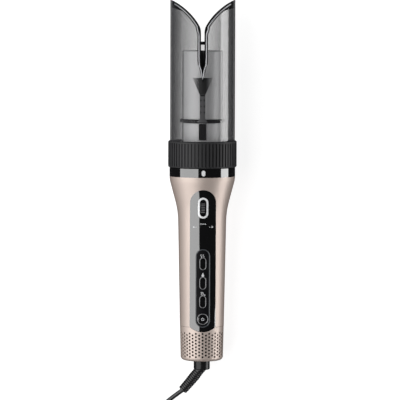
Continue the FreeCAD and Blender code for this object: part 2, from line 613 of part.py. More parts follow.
def make_tail():
    inner = "frame_radius - frame_wall"
    frame = turned("tail", [("stem_radius + running_gap", 2.2), (inner, 2.2), ("frame_radius", 3.8),
                            ("frame_radius", 32), ("grip_low_radius - grip_wall", 32),
                            ("grip_low_radius - grip_wall", 34.8), (inner, 34.8), (inner, 4.2),
                            (9.5, 4.2), (9.5, 8.2),
                            ("stem_radius + running_gap", 8.2)])
    window = cut(frame, [rectangle(-4.5, 4.5, 8, 26)])
    around(frame, window, 8)
    lay(frame, "tail_frame")
    lip = "cap_top_radius - cap_wall"
    base = "cap_radius - cap_wall"
    cap = turned("cap", [("cap_bore", 0), ("cap_radius - cap_round", 0),
                         ("cap_radius", "cap_round", "cap_round"), ("cap_top_radius", "cap_high"),
                         (lip, "cap_high"), (base, "cap_round"), (f"{base} - 2", "cap_floor"),
                         ("cap_bore", "cap_floor")])
    cut(cap, [[("-panel_half - 0.3", "panel_low"), ("panel_half + 0.3", "panel_low", "panel_low_round"),
               ("panel_half + 0.3", "panel_low + 4"), ("-panel_half - 0.3", "panel_low + 4")]])
    for first, holes, turn in (("vent_first", 8, 0), ("vent_first + vent_pitch / 2", 7, "cap_columns")):
        circles = [(0, f"{first} + {index} * vent_pitch", "cap_vent_radius") for index in range(holes)]
        column = cut(cap, [], circles=circles, turn=360 / SIZES[turn] if turn else 0)
        around(cap, column, "cap_columns / 2")
    lay(cap, "filter_cap", turn=CONTROLS_TURN)
    lay(tube("mesh", "mesh_radius", "mesh_radius - mesh_wall", "cap_floor + 2", 26), "filter_mesh")
    wires = [cylinder(1.1, 12, 44, x, -10.5) for x in (-2, 2)]
    lay(group("wire_group", wires), "mains_wires")
    collar = turned("collar", [("ball_radius + socket_gap", "collar_low"),
                               ("collar_radius - 1.2", "collar_low"),
                               ("collar_radius", "collar_low + 1.2", 1.2), ("collar_radius", "collar_high"),
                               ("stem_radius", "collar_high"), ("stem_radius", 8.5), (8.5, 8.5), (8.5, 10.2),
                               ("cord_radius + socket_gap", 10.2),
                               ("cord_radius + socket_gap", "socket_high"),
                               ("ball_radius + socket_gap", "socket_high")])
    lay(collar, "swivel_collar")


def rounded_path(points):
    """Straight runs joined by tangent arcs, each as large as its two runs allow."""
    places = [Vector(*point) for point in points]
    edges, radii, here = [], [], places[0]
    for before, corner, after in zip(places, places[1:], places[2:]):
        arriving, leaving = (corner - before).normalize(), (after - corner).normalize()
        half_turn = arriving.getAngle(leaving) / 2
        reach = 0.45 * min((corner - before).Length, (after - corner).Length)
        radius = reach / math.tan(half_turn)
        first, last = corner - arriving * reach, corner + leaving * reach
        inside = (leaving - arriving).normalize() * (radius / math.cos(half_turn) - radius)
        edges.append(Part.LineSegment(here, first).toShape())
        edges.append(Part.Arc(first, corner + inside, last).toShape())
        radii.append(round(radius, 1))
        here = last
    edges.append(Part.LineSegment(here, places[-1]).toShape())
    return Part.Wire(edges), radii


def swept(points, start_radius, end_radius):
    """A round tube along a route, from one radius to another."""
    path, radii = rounded_path(points)
    places = [Vector(*point) for point in points]
    rounds = []
    for centre, way, radius in ((places[0], places[1] - places[0], start_radius),
                                (places[-1], places[-1] - places[-2], end_radius)):
        rounds.append(Part.Wire(Part.Circle(centre, way, radius).toShape()))
    if start_radius == end_radius:
        rounds.pop()
    solid = path.makePipeShell(rounds, True, False)
    expected = math.pi * (start_radius ** 2 + start_radius * end_radius + end_radius ** 2) / 3 * path.Length
    print(f"route {path.Length:.1f} mm, radii {radii}, volume {solid.Volume:.0f} of {expected:.0f} mm3")
    return solid


def feature(name, shape):
    piece = doc.addObject("Part::Feature", name)
    piece.Shape = shape
    return piece


def make_lead():
    boot = swept(BOOT_ROUTE, amount("boot_root_radius"), amount("boot_end_radius"))
    ball = Part.makeSphere(amount("ball_radius"), Vector(*BOOT_ROUTE[0]))
    stand(feature("boot", boot.fuse(ball)), "cord_boot", (0, 0, 0))
    cord = amount("cord_radius")
    stand(feature("lead", swept(LEAD_ROUTE, cord, cord)), "cord_lead", (0, 0, 0))
    stand(tube("wound", "coil_outer", "coil_inner", 0, "coil_high"), "cord_coil", COIL_CENTRE)
    stand(feature("tail_end", swept(TAIL_ROUTE, cord, cord)), "cord_tail", (0, 0, 0))


def make_plug():
    """A flat two-pin plug lying on its wide side, drawn from its strain relief along X."""
    side = [(13, -6.5), (20, -7.5), (30, "-plug_half + 1.2"), (34, "-plug_half"), (50, "-plug_half")]
    body = new_body("plug")
    sketch = sketch_on(body, "XY_Plane")
    draw(sketch, side + [(x, f"-({y})") for x, y in side[::-1]])
    pad = body.newObject("PartDesign::Pad", "plug_pad")
    pad.Profile = sketch
    pad.setExpression("Length", bound("plug_high"))
    doc.recompute()
    edges = body.newObject("PartDesign::Fillet", "plug_edges")
    edges.Base = (pad, [""])
    edges.UseAllEdges = True
    edges.Radius = 1.2
    sleeve = doc.addObject("Part::Cone", "plug_sleeve")
    sleeve.Radius1, sleeve.Radius2, sleeve.Height = 3.0, 4.8, 14.0
    sleeve.Placement = Placement(Vector(0, 0, amount("plug_high / 2")), Rotation(Vector(0, 1, 0), 90))
    start = TAIL_ROUTE[-1][:2] + (0,)
    stand(joined(body, sleeve), "plug_body", start, PLUG_TURN)
    pins = []
    for way in (-1, 1):
        pin = cylinder("pin_radius", 0, "pin_length")
        centre = Vector(50, amount(f"{way} * pin_spacing / 2"), amount("plug_high / 2"))
        pin.Placement = Placement(centre, Rotation(Vector(0, 1, 0), 90))
        pins.append(pin)
    stand(group("pin_group", pins), "plug_pins", start, PLUG_TURN)


def check_document():
    doc.recompute()
    for item in doc.Objects:
        assert not {"Invalid", "Error"} & set(item.State), f"{item.Name}: {item.State}"
        if item.TypeId == "PartDesign::Pocket":
            removed = item.BaseFeature.Shape.Volume - item.Shape.Volume
            assert removed > 0.01, f"{item.Name} cuts nothing"
    for part in parts:
        assert not part.Shape.isNull() and part.Shape.isValid(), f"{part.Label} has no valid shape"
    assert len({part.Label for part in parts}) == len(parts), "two pieces share a name"


def filled(shape):
    """The shape without the empty solids that a pattern of grooves can leave behind."""
    solids = [solid for solid in shape.Solids if solid.Volume > EXACT]
    if len(solids) == len(shape.Solids):
        return shape
    return solids[0] if len(solids) == 1 else Part.makeCompound(solids)


make_guard()
make_barrel()
make_drive()
make_neck()
make_grip()
make_air_unit()
make_tail()
make_lead()
make_plug()
check_document()
os.makedirs("parts", exist_ok=True)
for part in parts:
    filled(part.Shape).exportStep(f"parts/{part.Label}.step")
print(f"{len(parts)} pieces")
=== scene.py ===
import json
import math

import bmesh
import bpy
from mathutils import Matrix, Vector
from mathutils.bvhtree import BVHTree


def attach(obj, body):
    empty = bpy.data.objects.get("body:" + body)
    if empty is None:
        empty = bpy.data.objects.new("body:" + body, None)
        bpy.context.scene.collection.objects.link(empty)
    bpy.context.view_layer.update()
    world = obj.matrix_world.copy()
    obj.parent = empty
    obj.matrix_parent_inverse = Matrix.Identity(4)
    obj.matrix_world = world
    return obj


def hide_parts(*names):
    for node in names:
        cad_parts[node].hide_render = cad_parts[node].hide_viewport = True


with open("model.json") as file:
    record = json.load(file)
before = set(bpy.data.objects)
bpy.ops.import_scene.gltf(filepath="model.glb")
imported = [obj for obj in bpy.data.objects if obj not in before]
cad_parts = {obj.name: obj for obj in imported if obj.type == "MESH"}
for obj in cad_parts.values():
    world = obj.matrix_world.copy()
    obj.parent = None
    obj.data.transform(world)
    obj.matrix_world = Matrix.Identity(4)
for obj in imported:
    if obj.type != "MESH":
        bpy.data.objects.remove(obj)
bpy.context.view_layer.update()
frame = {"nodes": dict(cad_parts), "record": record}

nodes = frame["nodes"]

# ---------------------------------------------------------------- places
# The tool's own axes are x across, y from the control side to the back and z along it towards the mouth.
TILT = math.radians(3.8916)
MIDDLE, LIFT = 0.160878, 0.019176
LAID = Matrix(((1, 0, 0, 0),
               (0, math.sin(TILT), math.cos(TILT), -MIDDLE),
               (0, -math.cos(TILT), math.sin(TILT), LIFT),
               (0, 0, 0, 1)))
CONTROLS_TURN = math.radians(2.0)
CONTROLS = LAID @ Matrix.Rotation(CONTROLS_TURN, 4, "Z")
MM = 0.001

# The mains lead's route, in metres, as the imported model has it.
BOOT = [(-0.0006, -0.1685, 0.0188), (-0.0070, -0.1772, 0.0174), (-0.0175, -0.1893, 0.0140)]
LEAD = [(-0.0175, -0.1893, 0.0140), (-0.0300, -0.1983, 0.0085), (-0.0414, -0.2103, 0.0034),
        (-0.0468, -0.2235, 0.0020)]
COIL_CENTRE = (-0.0200, -0.2340)
TAIL = [(-0.0403, -0.2531, 0.0140), (-0.0319, -0.2615, 0.0125), (-0.0239, -0.2695, 0.0085),
        (-0.0174, -0.2760, 0.00685)]
CORD = 0.004


# ---------------------------------------------------------------- camera
FOCAL_LENGTH, FILM_WIDTH = 270, 36
EYE, EYE_ROLL = (-0.00205, -0.0140, 2.782), math.radians(0.18)


def make_camera():
    """A long lens straight above the tool."""
    data = bpy.data.cameras.new("camera")
    data.lens, data.sensor_width = FOCAL_LENGTH, FILM_WIDTH
    data.clip_start, data.clip_end = 0.1, 20
    camera = bpy.data.objects.new("camera", data)
    camera.location = EYE
    camera.rotation_euler = (0, 0, EYE_ROLL)
    bpy.context.scene.collection.objects.link(camera)
    bpy.context.scene.camera = camera


make_camera()


# ---------------------------------------------------------------- materials
GRAIN_DEPTH = 0.00005
# The barrel's painted glow, and the radius inside which its hollow is painted in shade.
BARREL_PAINTED_GLOW, BARREL_SHADED_INSIDE_RADIUS = 0.09, 0.0169
ARROW_SHOULDER = 0.2448


def material(name, colour, other, rough=0.4, metal=0.0, ior=1.5, grain=400.0, grain_bump=0.05,
             stretch=(1, 1, 1)):
    """A moulded or painted surface: two close colours in a fine grain, with uneven gloss and relief."""
    made = bpy.data.materials.new(name)
    made.use_nodes = True
    tree = made.node_tree
    shader = tree.nodes["Principled BSDF"]
    shader.inputs["Metallic"].default_value = metal
    shader.inputs["IOR"].default_value = ior
    place = tree.nodes.new("ShaderNodeTexCoord")
    spread = tree.nodes.new("ShaderNodeMapping")
    spread.inputs["Scale"].default_value = stretch
    tree.links.new(place.outputs["Object"], spread.inputs["Vector"])
    noise = tree.nodes.new("ShaderNodeTexNoise")
    noise.inputs["Scale"].default_value = grain
    noise.inputs["Detail"].default_value = 4
    tree.links.new(spread.outputs["Vector"], noise.inputs["Vector"])
    tint = tree.nodes.new("ShaderNodeMix")
    tint.data_type = "RGBA"
    tint.inputs["A"].default_value = (*colour, 1)
    tint.inputs["B"].default_value = (*other, 1)
    tree.links.new(noise.outputs["Fac"], tint.inputs["Factor"])
    tree.links.new(tint.outputs["Result"], shader.inputs["Base Color"])
    gloss = tree.nodes.new("ShaderNodeMapRange")
    gloss.inputs["To Min"].default_value = rough * 0.85
    gloss.inputs["To Max"].default_value = rough * 1.15
    tree.links.new(noise.outputs["Fac"], gloss.inputs["Value"])
    tree.links.new(gloss.outputs["Result"], shader.inputs["Roughness"])
    relief = tree.nodes.new("ShaderNodeBump")
    relief.inputs["Strength"].default_value = grain_bump
    relief.inputs["Distance"].default_value = GRAIN_DEPTH
    tree.links.new(noise.outputs["Fac"], relief.inputs["Height"])
    tree.links.new(relief.outputs["Normal"], shader.inputs["Normal"])
    return made


def tool_place(tree, axis):
    """A surface point's place along one of the tool's own axes, 0 for x to 2 for z, in metres."""
    way = LAID.col[axis].xyz
    place = tree.nodes.new("ShaderNodeTexCoord")
    dot = tree.nodes.new("ShaderNodeVectorMath")
    dot.operation = "DOT_PRODUCT"
    dot.inputs[1].default_value = way
    tree.links.new(place.outputs["Object"], dot.inputs[0])
    return maths(tree, "ADD", dot.outputs["Value"], -way.dot(LAID.translation))


def maths(tree, operation, first, second=0.0):
    """A Math node on one or two values, each a socket or a number."""
    made = tree.nodes.new("ShaderNodeMath")
    made.operation = operation
    for socket, value in zip(made.inputs, (first, second)):
        if isinstance(value, (int, float)):
            socket.default_value = value
        else:
            tree.links.new(value, socket)
    return made.outputs["Value"]


def spread_over(tree, value, low, high, start=0.0, end=1.0):
    """The value's way from low to high, written as start to end."""
    made = tree.nodes.new("ShaderNodeMapRange")
    for name, number in (("From Min", low), ("From Max", high), ("To Min", start), ("To Max", end)):
        made.inputs[name].default_value = number
    tree.links.new(value, made.inputs["Value"])
    return made.outputs["Result"]


def tinted(made, share, colour):
    """Turn a material's colour into another one where the share is 1."""
    tree = made.node_tree
    shader = tree.nodes["Principled BSDF"]
    tint = tree.nodes.new("ShaderNodeMix")
    tint.data_type = "RGBA"
    tree.links.new(share, tint.inputs["Factor"])
    tree.links.new(shader.inputs["Base Color"].links[0].from_socket, tint.inputs["A"])
    tint.inputs["B"].default_value = (*colour, 1)
    tree.links.new(tint.outputs["Result"], shader.inputs["Base Color"])
    return made


def edge_on(tree, low, high, end=1.0):
    """0 where the surface faces the eye, rising to its end value where it is seen edge on."""
    edge = tree.nodes.new("ShaderNodeLayerWeight")
    edge.inputs["Blend"].default_value = 0.5
    return spread_over(tree, edge.outputs["Facing"], low, high, 0.0, end)


def painted_look(name):
    """Champagne lacquer with painted shade: its colour turns deep brown where it is seen edge on."""
    made = material(name, (0.50, 0.415, 0.37), (0.58, 0.49, 0.44), rough=0.46, metal=0.42, grain=2600,
                    grain_bump=0.12)
    # painted shade: darker brown towards the edges that are seen edge on
    return tinted(made, edge_on(made.node_tree, 0.35, 0.90, 0.75), (0.16, 0.12, 0.10))


def barrel_look(name):
    """Pale satin coating outside the barrel, with painted light: a painted glow in its own colour, painted
    shade where it is seen edge on and near-black painted shade on its hollow inside.
    """
    made = material(name, (0.80, 0.80, 0.81), (0.88, 0.88, 0.89), rough=0.42, metal=0.14, ior=1.8,
                    grain=900, grain_bump=0.08)
    tree = made.node_tree
    shader = tree.nodes["Principled BSDF"]
    # painted glow: the barrel gives off a little light of its own, though it is no lamp
    shader.inputs["Emission Strength"].default_value = BARREL_PAINTED_GLOW
    across, back = tool_place(tree, 0), tool_place(tree, 1)
    squares = [maths(tree, "MULTIPLY", value, value) for value in (across, back)]
    from_axis = maths(tree, "SQRT", maths(tree, "ADD", *squares))
    # painted shade towards the edges seen edge on
    tinted(made, edge_on(tree, 0.60, 0.78), (0.02, 0.02, 0.02))
    # painted shade: near black on the hollow inside, closer to the axis than the coated outside
    tinted(made, maths(tree, "LESS_THAN", from_axis, BARREL_SHADED_INSIDE_RADIUS), (0.004, 0.004, 0.004))
    # the painted glow takes the painted colour, shade included
    tree.links.new(shader.inputs["Base Color"].links[0].from_socket, shader.inputs["Emission Color"])
    return made


def arrow_look(name):
    """The arrow guide: a head with grey wing tips and a black middle, and a plain grey stem."""
    made = material(name, (0.10, 0.10, 0.105), (0.13, 0.13, 0.135), rough=0.4, grain=1500)
    tree = made.node_tree
    across = maths(tree, "ABSOLUTE", tool_place(tree, 0))
    head = maths(tree, "GREATER_THAN", tool_place(tree, 2), ARROW_SHOULDER)
    middle = spread_over(tree, across, 0.0030, 0.0058, 1.0, 0.0)
    tinted(made, maths(tree, "MULTIPLY", head, middle), (0.003, 0.003, 0.003))
    tips = spread_over(tree, across, 0.0050, 0.0085)
    return tinted(made, maths(tree, "MULTIPLY", head, tips), (0.38, 0.38, 0.38))


def smoked(name):
    """Clear dark plastic: it lets less through where it is seen edge on, and has a painted reflection that
    is turned down on its left and full on its right.
    """
    made = material(name, (0.045, 0.045, 0.047), (0.055, 0.054, 0.056), rough=0.05, ior=2.3,
                    grain=30, grain_bump=0.02)
    tree = made.node_tree
    shader = tree.nodes["Principled BSDF"]
    edge = tree.nodes.new("ShaderNodeLayerWeight")
    edge.inputs["Blend"].default_value = 0.45
    solid = spread_over(tree, edge.outputs["Facing"], 0.0, 1.0, 0.20, 0.97)
    tree.links.new(solid, shader.inputs["Alpha"])
    # painted reflection: the reflection's strength rises from the left of the tool's axis to its right
    painted_side_reflection = spread_over(tree, tool_place(tree, 0), -0.0010, 0.0010, 0.06, 0.5)
    tree.links.new(painted_side_reflection, shader.inputs["Specular IOR Level"])
    return made


MATERIALS = {
    "smoked_plastic": smoked("smoked_plastic"),
    "black_gloss": material("black_gloss", (0.002, 0.002, 0.002), (0.004, 0.004, 0.004), rough=0.06,
                            ior=2.2, grain=60, grain_bump=0.01),
    "black_satin": material("black_satin", (0.004, 0.004, 0.005), (0.007, 0.007, 0.008), rough=0.42,
                            ior=1.16, grain=2200, grain_bump=0.15),
    "black_semi": material("black_semi", (0.008, 0.008, 0.009), (0.013, 0.013, 0.014), rough=0.22,
                           ior=1.36, grain=1200, grain_bump=0.08),
    "charcoal": material("charcoal", (0.020, 0.020, 0.021), (0.034, 0.034, 0.036), rough=0.5,
                         ior=1.32, grain=1800, grain_bump=0.3),
    "champagne": painted_look("champagne"),
    # chrome trim drawn near white with little metal: a painted reflection of the studio light
    "chrome_trim": material("chrome_trim", (0.90, 0.91, 0.92), (0.95, 0.96, 0.97), rough=0.28,
                            metal=0.15, ior=2.0, grain=300, grain_bump=0.02),
    "barrel_coating": barrel_look("barrel_coating"),
    "light_plastic": material("light_plastic", (0.72, 0.72, 0.72), (0.80, 0.80, 0.80), rough=0.4,
                              grain=900),
    "steel": material("steel", (0.50, 0.50, 0.51), (0.62, 0.62, 0.63), rough=0.3, metal=1.0,
                      grain=700, stretch=(1, 0.05, 1)),
    "brass_bush": material("brass_bush", (0.62, 0.46, 0.20), (0.70, 0.54, 0.27), rough=0.3, metal=1.0,
                           grain=700),
    "ceramic": material("ceramic", (0.76, 0.74, 0.69), (0.84, 0.82, 0.77), rough=0.55, grain=600,
                        grain_bump=0.2),
    "board_green": material("board_green", (0.010, 0.09, 0.035), (0.016, 0.12, 0.05), rough=0.3,
                            grain=500),
    "inner_plastic": material("inner_plastic", (0.05, 0.05, 0.055), (0.07, 0.07, 0.075), rough=0.5,
                              grain=1200, grain_bump=0.2),
    "gear_plastic": material("gear_plastic", (0.70, 0.67, 0.58), (0.78, 0.75, 0.66), rough=0.4,
                             grain=700),
    "mica": material("mica", (0.52, 0.47, 0.35), (0.66, 0.60, 0.46), rough=0.5, grain=350,
                     grain_bump=0.3),
    "cord_rubber": material("cord_rubber", (0.010, 0.010, 0.011), (0.018, 0.018, 0.019), rough=0.3,
                            grain=1500, grain_bump=0.2),
    "filter_mesh": material("filter_mesh", (0.02, 0.018, 0.017), (0.05, 0.045, 0.042), rough=0.5,
                            metal=0.6, grain=2500, grain_bump=0.5),
    "pin_metal": material("pin_metal", (0.62, 0.60, 0.55), (0.70, 0.68, 0.62), rough=0.22, metal=1.0,
                          grain=900, stretch=(1, 1, 0.1)),
}

slots = {row["node"]: row["material_slot"] for row in frame["record"]["subparts"]}
for name, node in nodes.items():
    node.data.materials.clear()
    node.data.materials.append(arrow_look(name) if name == "arrow_guide" else MATERIALS[slots[name]])


# ---------------------------------------------------------------- making pieces
def link(name, data, body, slot, look=None):
    """Put a piece in the scene, riding its body, in its slot's material or in a look of its own."""
    piece = bpy.data.objects.new(name, data)
    bpy.context.scene.collection.objects.link(piece)
    data.materials.append(look or MATERIALS[slot])
    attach(piece, body)
    return piece


def route(name, points, radius):
    """A smooth curve with these points as its control points."""
    curve = bpy.data.curves.new(name, "CURVE")
    curve.dimensions = "3D"
    curve.resolution_u = 6
    spline = curve.splines.new("NURBS")
    spline.points.add(len(points) - 1)
    for point, place in zip(spline.points, points):
        point.co = (*place, 1)
    spline.order_u = 3
    spline.use_endpoint_u = True
    curve.bevel_depth = radius
    curve.bevel_resolution = 4
    curve.use_fill_caps = True
    return curve


def line_of(points):
    """Points along the smooth curve that has these control points."""
    curve = route("line", points, 0)
    curve.resolution_u = 24
    carrier = bpy.data.objects.new("line", curve)
    mesh = bpy.data.meshes.new_from_object(carrier)
    line = [vertex.co.copy() for vertex in mesh.vertices]
    bpy.data.objects.remove(carrier)
    bpy.data.meshes.remove(mesh)
    bpy.data.curves.remove(curve)
    return line


def at(line, distance):
    """The place and direction a distance along a line."""
    for start, end in zip(line, line[1:]):
        step = (end - start).length
        if distance <= step:
            return start.lerp(end, distance / step), (end - start).normalized()
        distance -= step
    way = (line[-1] - line[-2]).normalized()
    return line[-1] + way * distance, way


def length_of(line):
    """The length along a line's points."""
    return sum((end - start).length for start, end in zip(line, line[1:]))


def sleeve(name, line, profile, body, slot, sides=40):
    """A round skin along a line: profile holds (distance along the line, radius) in metres."""
    shape = bmesh.new()
    rings, across = [], None
    for distance, radius in profile:
        centre, way = at(line, max(distance, 0))
        centre += way * min(distance, 0)
        if across is None:
            across = way.orthogonal().normalized()
        across = (across - way * across.dot(way)).normalized()
        up = way.cross(across)
        ring = []
        for side in range(sides):
            turn = 2 * math.pi * side / sides
            ring.append(shape.verts.new(centre + (across * math.cos(turn) + up * math.sin(turn)) * radius))
        rings.append(ring)
    for first, second in zip(rings, rings[1:]):
        for side in range(sides):
            after = (side + 1) % sides
            shape.faces.new((first[side], first[after], second[after], second[side]))
    shape.faces.new(rings[0][::-1])
    shape.faces.new(rings[-1])
    for face in shape.faces:
        face.smooth = len(face.verts) == 4
    bmesh.ops.recalc_face_normals(shape, faces=shape.faces)
    mesh = bpy.data.meshes.new(name)
    shape.to_mesh(mesh)
    shape.free()
    return link(name, mesh, body, slot)


# ---------------------------------------------------------------- mains lead
def coil_points(radii=(0.028, 0.024, 0.020), low=0.002, steps=15, step_turn=1 / 6):
    """Control points of the wound lead: flat layers of three turns, winding inwards and outwards."""
    keys = [(0, radii[0], low)]
    for layer in range(4):
        order = radii if layer % 2 == 0 else radii[::-1]
        high = low + CORD * layer
        early = (layer + 1) * step_turn
        for index in (1, 2):
            keys.append((3 * layer + index - early, order[index - 1], high))
            keys.append((3 * layer + index - early + step_turn, order[index], high))
        if layer < 3:
            keys.append((3 * layer + 3 - early, order[2], high))
            keys.append((3 * layer + 3 - early + step_turn / 2, order[2], high + CORD))
    turns = 11 + 20 / 360
    keys.append((turns, radii[0], low + 3 * CORD))
    count = round(turns * steps)
    points = []
    for index in range(count + 1):
        turn = turns * index / count
        before, after = next(pair for pair in zip(keys, keys[1:]) if pair[0][0] <= turn <= pair[1][0] + 1e-9)
        share = (turn - before[0]) / (after[0] - before[0])
        radius = (before[1] + share * (after[1] - before[1])) / math.cos(math.pi / steps)
        angle = math.pi + 2 * math.pi * turn
        points.append((COIL_CENTRE[0] + radius * math.cos(angle),
                       COIL_CENTRE[1] + radius * math.sin(angle),
                       before[2] + share * (after[2] - before[2])))
    return points


BOOT_BALL = [(-0.0046, 0.0012), (-0.0040, 0.0028), (-0.0026, 0.0041), (-0.0008, 0.0048)]
BOOT_NECK = [(0.0014, 0.0046), (0.0026, 0.0044)]
BOOT_RINGS, BOOT_RINGS_START, BOOT_LIP = 11, 0.0032, 0.0018
BOOT_RADIUS, BOOT_TAPER, BOOT_LAST_RADIUS = 0.00515, 0.00085, 0.0043
BOOT_ROOT_LENGTH, BOOT_ROOT_THINNER, BOOT_GROOVE = 0.009, 0.00075, 0.0009


def boot_profile(length):
    """The ball in the collar, then the moulded rings of the strain relief and its plain end."""
    profile = BOOT_BALL + BOOT_NECK
    end = length - BOOT_LIP
    pitch = (end - BOOT_RINGS_START) / BOOT_RINGS
    for ring in range(BOOT_RINGS):
        here = BOOT_RINGS_START + ring * pitch
        thinner = BOOT_ROOT_THINNER * max(0, 1 - here / BOOT_ROOT_LENGTH)
        radius = BOOT_RADIUS - BOOT_TAPER * (here / length) - thinner
        groove = radius - BOOT_GROOVE
        profile += [(here, radius - 0.0001), (here + 0.15 * pitch, radius), (here + 0.58 * pitch, radius),
                    (here + 0.66 * pitch, radius - 0.00015), (here + 0.72 * pitch, groove),
                    (here + 0.94 * pitch, groove)]
    last = BOOT_LAST_RADIUS
    profile += [(end, last - 0.0001), (end + 0.0003, last), (length - 0.0005, last),
                (length - 0.0001, last - 0.0003), (length, 0.0024), (length + 0.0002, 0.0019)]
    return profile


boot_line = line_of(BOOT)
boot = sleeve("cord_boot_ringed", boot_line, boot_profile(length_of(boot_line)), "swivel", "cord_rubber")
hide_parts("cord_boot")

lead_points = LEAD + coil_points() + TAIL
lead = link("mains_lead", route("mains_lead", lead_points, CORD / 2), "swivel", "cord_rubber")
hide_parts("cord_lead", "cord_coil", "cord_tail")
lead_long = length_of(line_of(lead_points))


PLUG_WAY = Vector((math.sqrt(0.5), -math.sqrt(0.5), 0))
RELIEF_LENGTH, RELIEF_START_RADIUS, RELIEF_WIDENS = 0.014, 0.0030, 0.0018


def plug_rings():
    """Raised rings round the plug's own strain relief."""
    start = Vector(TAIL[-1])
    line = [start, start + PLUG_WAY * RELIEF_LENGTH]
    for ring in range(4):
        here = 0.0016 + 0.0030 * ring
        radius = RELIEF_START_RADIUS + RELIEF_WIDENS * here / RELIEF_LENGTH
        profile = [(here - 0.0003, radius - 0.0002), (here, radius + 0.0003),
                   (here + 0.0007, radius + 0.0004), (here + 0.0014, radius + 0.0003),
                   (here + 0.0017, radius)]
        sleeve(f"plug_ring_{ring + 1}", line, profile, "swivel", "cord_rubber")


plug_rings()


# ---------------------------------------------------------------- controls
# Places on the tool are in millimetres from here on: x across, z along it from the cap.
SLIDER_Z, PAD_Z, POWER_Z = 141.4, 67.75, 39.5
KEY_PLACES = (("upper", 90.3), ("middle", 72.5), ("lower", 55.4))


def tree_of(node):
    """A node's surface, ready to be met by rays."""
    mesh = nodes[node].data
    return BVHTree.FromPolygons([vertex.co for vertex in mesh.vertices],
                                [face.vertices[:] for face in mesh.polygons])


def on_front(tree, x, z, lift, seen=CONTROLS):
    """The place on a node's control side at x and z millimetres, a little proud of it."""
    inward = seen.to_3x3() @ Vector((0, 1, 0))
    spot = tree.ray_cast(seen @ Vector((x * MM, -0.06, z * MM)), inward)[0]
    return spot - inward * lift * MM


def arc(x, z, radius, start, end, count=16):
    """Points on an arc, in degrees anticlockwise from +x."""
    return [(x + radius * math.cos(math.radians(start + (end - start) * index / count)),
             z + radius * math.sin(math.radians(start + (end - start) * index / count)))
            for index in range(count + 1)]


def pill(z, half, long, count=12):
    """The outline of a slot that is round at both ends."""
    straight = long - half
    return arc(0, z + straight, half, 0, 180, count) + arc(0, z - straight, half, 180, 360, count)


def stroke(points, width):
    """A flat ribbon along points, as four-sided faces."""
    faces = []
    sides = []
    for index, (x, z) in enumerate(points):
        before, after = points[max(index - 1, 0)], points[min(index + 1, len(points) - 1)]
        dx, dz = after[0] - before[0], after[1] - before[1]
        size = math.hypot(dx, dz) or 1
        sides.append(((x - dz / size * width / 2, z + dx / size * width / 2),
                      (x + dz / size * width / 2, z - dx / size * width / 2)))
    for first, second in zip(sides, sides[1:]):
        faces.append((first[0], first[1], second[1], second[0]))
    return faces


def printed(name, node, body, faces, slot="light_plastic", lift=0.03, look=None, seen=CONTROLS):
    """A thin raised mark that follows the surface of a node."""
    tree = tree_of(node)
    shape = bmesh.new()
    for face in faces:
        shape.faces.new([shape.verts.new(on_front(tree, x, z, lift, seen)) for x, z in face])
    bmesh.ops.remove_doubles(shape, verts=shape.verts, dist=1e-6)
    bmesh.ops.recalc_face_normals(shape, faces=shape.faces)
    for face in shape.faces:
        if face.normal.z < 0:
            face.normal_flip()
    mesh = bpy.data.meshes.new(name)
    shape.to_mesh(mesh)
    shape.free()
    piece = link(name, mesh, body, slot, look)
    thick = piece.modifiers.new("thick", "SOLIDIFY")
    thick.thickness = 0.00005
    thick.offset = -1
    return piece


def bead(name, places, radius, body, slot, closed=False, look=None):
    """A round raised bead through places in the row frame."""
    curve = bpy.data.curves.new(name, "CURVE")
    curve.dimensions = "3D"
    spline = curve.splines.new("POLY")
    spline.points.add(len(places) - 1)
    for point, place in zip(spline.points, places):
        point.co = (*place, 1)
    spline.use_cyclic_u = closed
    curve.bevel_depth = radius
    curve.bevel_resolution = 3
    curve.use_fill_caps = True
    return link(name, curve, body, slot, look)


RIM = material("rim_grey", (0.050, 0.056, 0.062), (0.065, 0.072, 0.078), rough=0.3, ior=1.6, grain=800)
# light grey for the mouth bead: a painted highlight along the guard's rim
RIM_HIGHLIGHT = material("rim_painted_highlight", (0.36, 0.36, 0.38), (0.42, 0.42, 0.44), rough=0.2, metal=0.3, ior=2.0,
                grain=500)
DEEP = material("deep_black", (0.001, 0.001, 0.001), (0.002, 0.002, 0.002), rough=0.6, ior=1.06,
                grain=900)
SEAM = material("seam_brown", (0.06, 0.035, 0.028), (0.08, 0.05, 0.04), rough=0.6, grain=900)
KEY_RIM = material("key_rim", (0.34, 0.34, 0.35), (0.42, 0.42, 0.43), rough=0.3, metal=0.6, grain=600)
MARK = material("printed_mark", (0.62, 0.63, 0.64), (0.70, 0.71, 0.72), rough=0.35, grain=800)


def slider_ribs():
    """Six grip ribs across the slide switch."""
    tree = tree_of("switch_slider")
    for rib in range(6):
        z = SLIDER_Z + (rib - 2.5) * 1.55
        places = [on_front(tree, x, z, 0.05) for x in (-1.7, -0.85, 0, 0.85, 1.7)]
        bead(f"slider_rib_{rib + 1}", places, 0.00032, "switch_slider", "black_satin", look=KEY_RIM)


def around(outline, step=2.5):
    """A closed outline with points no further apart than about step."""
    places = []
    for start, end in zip(outline, outline[1:] + outline[:1]):
        pieces = max(1, round(math.dist(start, end) / step))
        for index in range(pieces):
            share = index / pieces
            places.append((start[0] + (end[0] - start[0]) * share, start[1] + (end[1] - start[1]) * share))
    return places


def pad_rims():
    """Raised rims round the button pad, its three pill keys and the power key."""
    tree = tree_of("button_pad")
    outlines = [("pad_rim", around(pill(PAD_Z, 6.1, 35.55, 20)), 0.00050, RIM)]
    for name, z in KEY_PLACES:
        outlines.append((f"key_{name}_rim", around(pill(z, 2.75, 5.45)), 0.00030, KEY_RIM))
    outlines.append(("power_rim", arc(0, POWER_Z, 4.75, 0, 360, 40)[:-1], 0.00035, KEY_RIM))
    for name, outline, radius, look in outlines:
        places = [on_front(tree, x, z, 0.02) for x, z in outline]
        bead(name, places, radius, "handle", "black_gloss", True, look)


